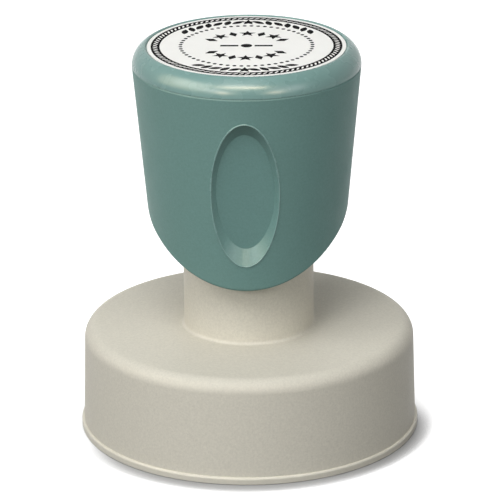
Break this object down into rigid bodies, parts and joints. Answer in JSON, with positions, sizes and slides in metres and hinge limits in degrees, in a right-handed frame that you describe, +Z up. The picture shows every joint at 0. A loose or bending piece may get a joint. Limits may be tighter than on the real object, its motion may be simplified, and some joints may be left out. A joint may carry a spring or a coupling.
{
  "type": "pre-inked hand stamp",
  "caption": "Round pre-inked hand stamp: a sprung printing head in a skirted housing, pressed by a tapered handle with an index label, and a push-on dust cap.",
  "frame": {"origin": "centre of the dust cap's flat underside, on the surface the stamp stands on", "axes": "+Z up along the stamp's axis, -Y towards the front of the handle, +X to the right seen from the front"},
  "size_m": [0.0634, 0.0634, 0.0741],
  "materials": {
    "beige_plastic": "satin, faint moulded grain",
    "cap_plastic": "satin",
    "green_plastic": "matte, fine moulded grain",
    "green_gloss": "semi-gloss",
    "label_film": "matt white film with black print",
    "grey_plastic": "satin",
    "die_rubber": "matt microporous",
    "pad_foam": "ink-soaked felt",
    "seal_rubber": "matt",
    "spring_steel": "drawn wire",
    "screw_steel": "zinc plated"
  },
  "bodies": {
    "housing": {"skirt_housing": "beige_plastic"},
    "cartridge": {"stem": "grey_plastic", "die_holder": "grey_plastic", "stamp_die": "die_rubber", "ink_pad": "pad_foam", "die_frame": "grey_plastic", "ink_seal": "seal_rubber", "head_screws": "screw_steel", "return_spring": "spring_steel", "spring_seat": "spring_steel", "retaining_clip": "spring_steel", "filler_plug": "seal_rubber", "grip_ring": "seal_rubber"},
    "handle": {"handle_shell": "green_plastic", "handle_core": "grey_plastic", "core_screws": "screw_steel", "top_cap": "green_gloss", "index_label": "label_film"},
    "dust_cap": {"dust_cap": "cap_plastic"}
  },
  "joints": [
    {"name": "press", "type": "slide", "parent": "housing", "child": "cartridge", "axis": [0, 0, -1], "range_m": [0, 0.003], "stiffness_N_per_m": 900, "springref_m": -0.008, "deforming": ["return_spring"]},
    {"name": "handle_pull", "type": "slide", "parent": "cartridge", "child": "handle", "axis": [0, 0, 1], "range_m": [0, 0.02]},
    {"name": "dust_cap_pull", "type": "slide", "parent": "dust_cap", "child": "housing", "axis": [0, 0, 1], "range_m": [0, 0.015]}
  ]
}
